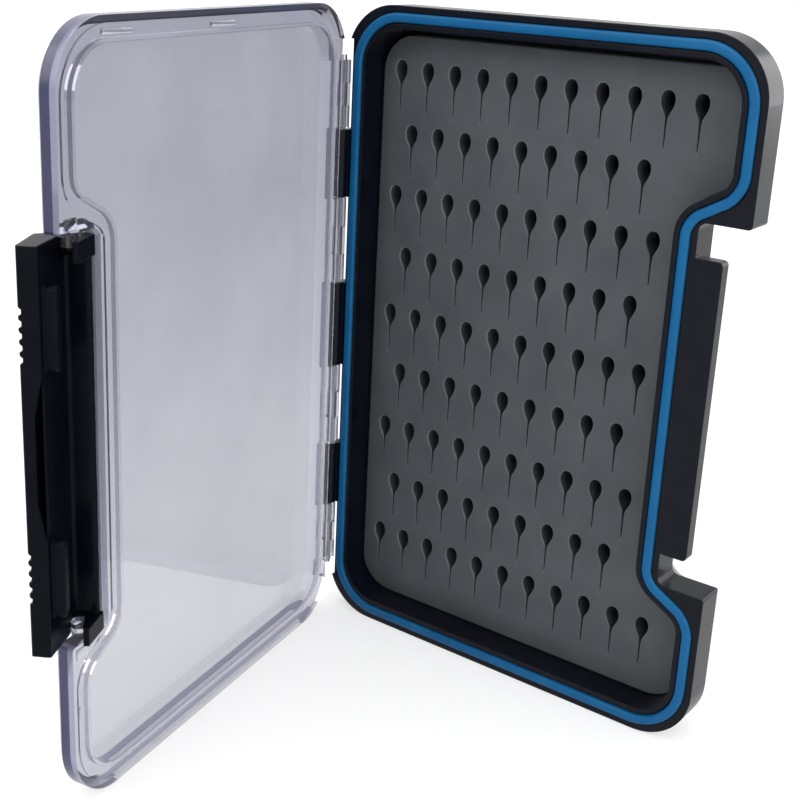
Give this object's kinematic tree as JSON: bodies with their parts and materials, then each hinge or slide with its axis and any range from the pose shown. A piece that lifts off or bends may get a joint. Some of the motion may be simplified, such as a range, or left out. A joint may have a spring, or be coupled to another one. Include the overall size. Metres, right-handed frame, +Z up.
{
  "type": "fly box",
  "caption": "Slim hinged fly box with a clear lid, a side latch in a notch, a perimeter gasket and a slotted silicone pad, standing open on its short end.",
  "frame": {"origin": "centre of the tray's lower end face, on which the box stands", "axes": "+X from the hinge to the latch, +Y into the tray towards its back, +Z up along the box and its hinge"},
  "size_m": [0.1062, 0.1225, 0.154],
  "materials": {
    "tray": "satin black moulded plastic",
    "gasket": "smooth blue rubber",
    "pad": "matt dark grey silicone",
    "pin": "drawn steel",
    "lid": "polished clear plastic",
    "latch": "satin black moulded plastic"
  },
  "bodies": {
    "tray": {"base_tray": "tray", "gasket": "gasket", "silicone_pad": "pad", "hinge_pin": "pin"},
    "lid": {"lid": "lid"},
    "latch": {"latch": "latch"}
  },
  "joints": [
    {"name": "lid_hinge", "type": "hinge", "parent": "tray", "child": "lid", "pos_m": [-0.05128, -0.00786, 0.077], "axis": [0, 0, 1], "range_deg": [-100.4, 79.6]},
    {"name": "latch_pivot", "type": "hinge", "parent": "lid", "child": "latch", "pos_m": [-0.0358, -0.10331, 0.077], "axis": [0, 0, 1], "range_deg": [-2, 68]}
  ]
}
